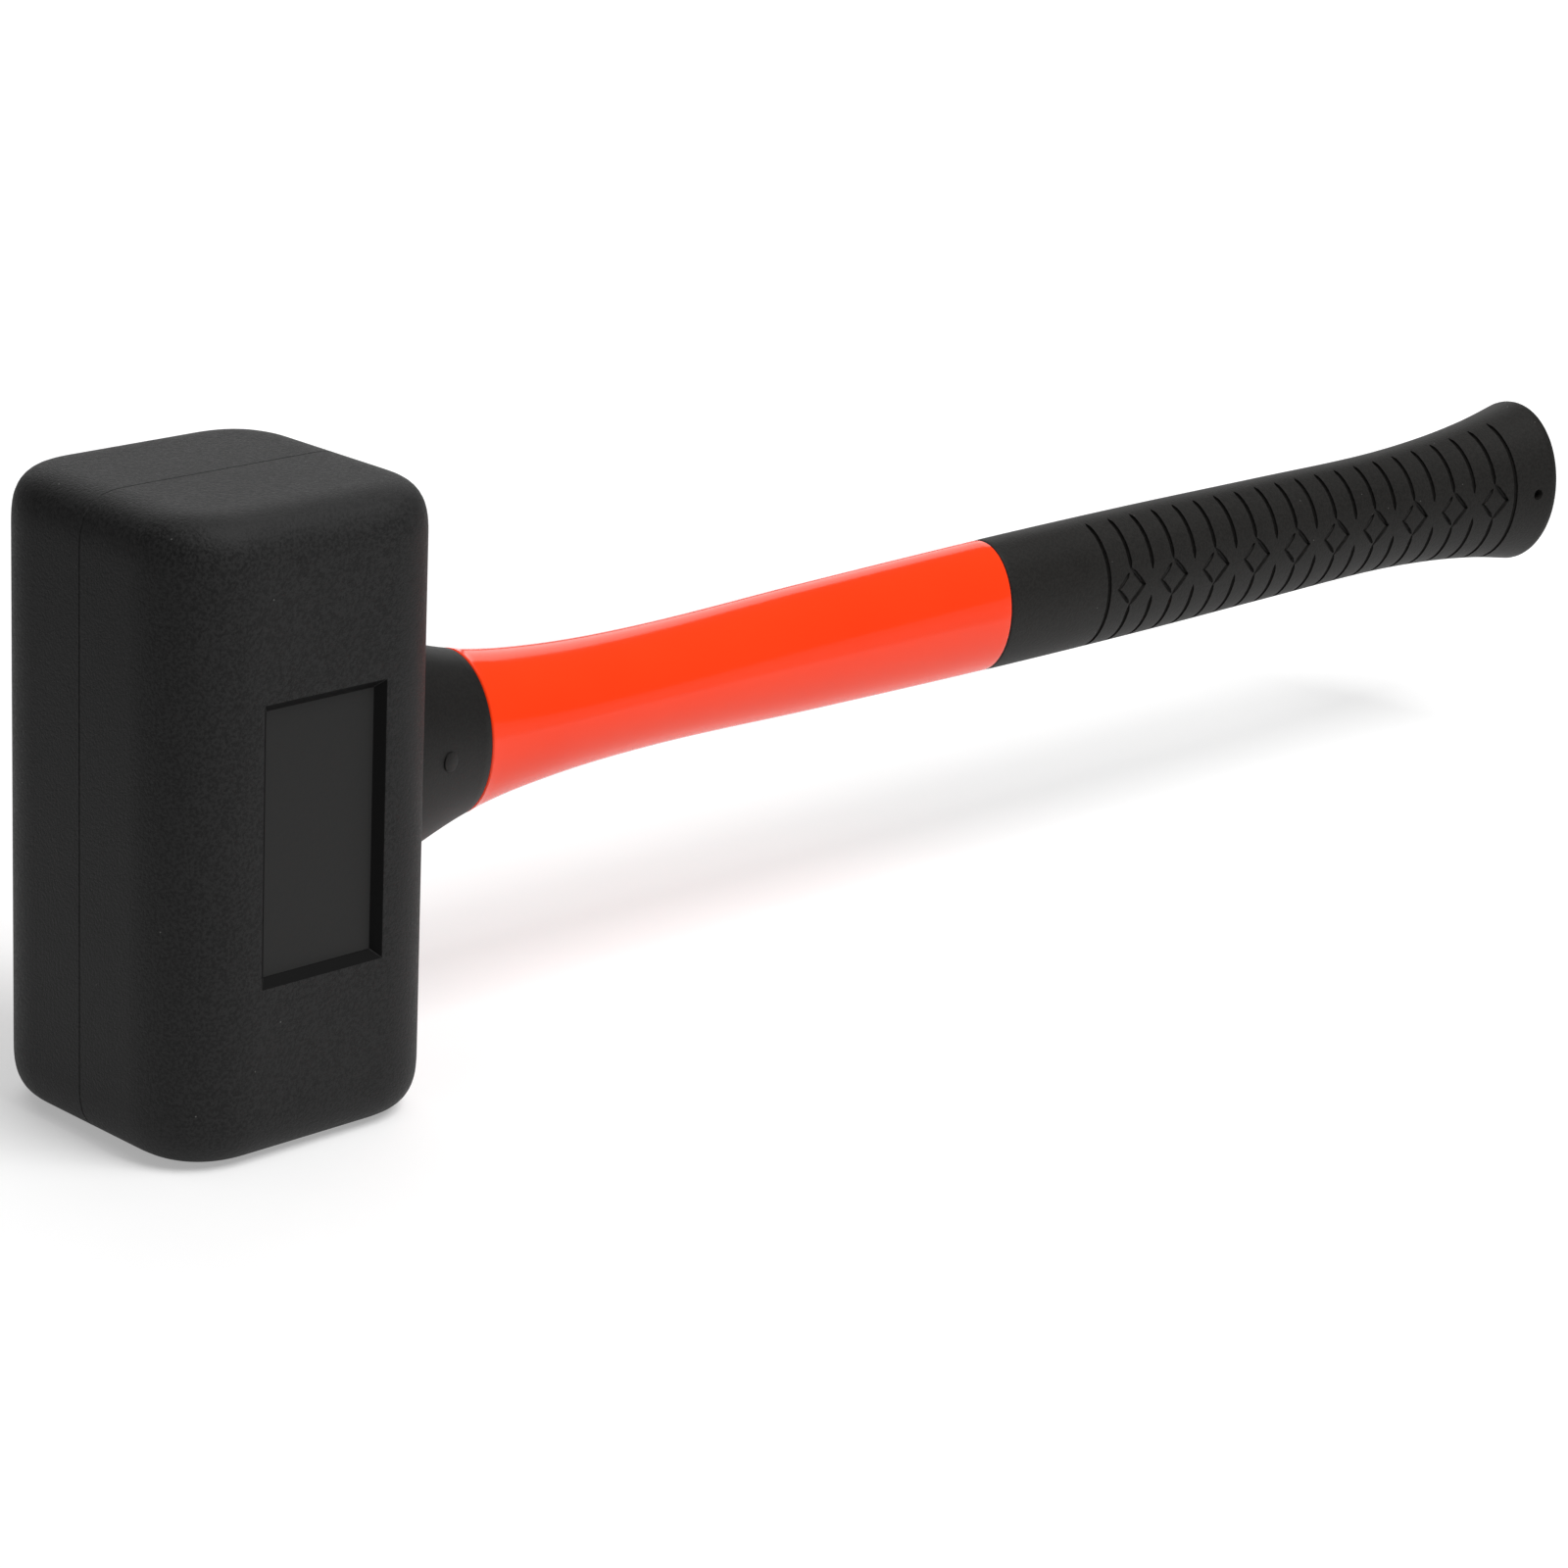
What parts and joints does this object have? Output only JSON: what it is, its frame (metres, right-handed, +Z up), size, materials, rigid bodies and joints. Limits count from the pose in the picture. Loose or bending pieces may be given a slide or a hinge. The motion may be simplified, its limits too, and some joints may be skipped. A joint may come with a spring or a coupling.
{
  "type": "rubber-faced lump hammer",
  "caption": "Block-head lump hammer: a rubber block with shallow cheek recesses on a glass-fibre handle with a smooth moulded jacket, tapered collar, grooved soft grip and flared butt.",
  "frame": {"origin": "centre of the lower striking face, where the hammer stands", "axes": "+X out along the handle to the butt, +Z up the striking axis to the other striking face, +Y across the cheeks"},
  "size_m": [0.4788, 0.0706, 0.139],
  "materials": {
    "head_rubber": "matte, finely grained moulded rubber",
    "core_steel": "dark as-forged steel, hidden inside the rubber",
    "resin": "cured amber epoxy, hidden in the eye",
    "pin_steel": "bright drawn steel, hidden",
    "glass_fibre": "pale pultruded glass-fibre rod, hidden",
    "orange_jacket": "glossy orange-red moulded plastic",
    "collar_rubber": "satin black moulded elastomer",
    "grip_rubber": "matte black soft elastomer"
  },
  "bodies": {
    "root": {"head_moulding": "head_rubber", "steel_core": "core_steel", "eye_resin": "resin", "dowel_pin": "pin_steel", "handle_rod": "glass_fibre", "handle_jacket": "orange_jacket", "neck_collar": "collar_rubber", "grip_sleeve": "grip_rubber"}
  },
  "joints": []
}
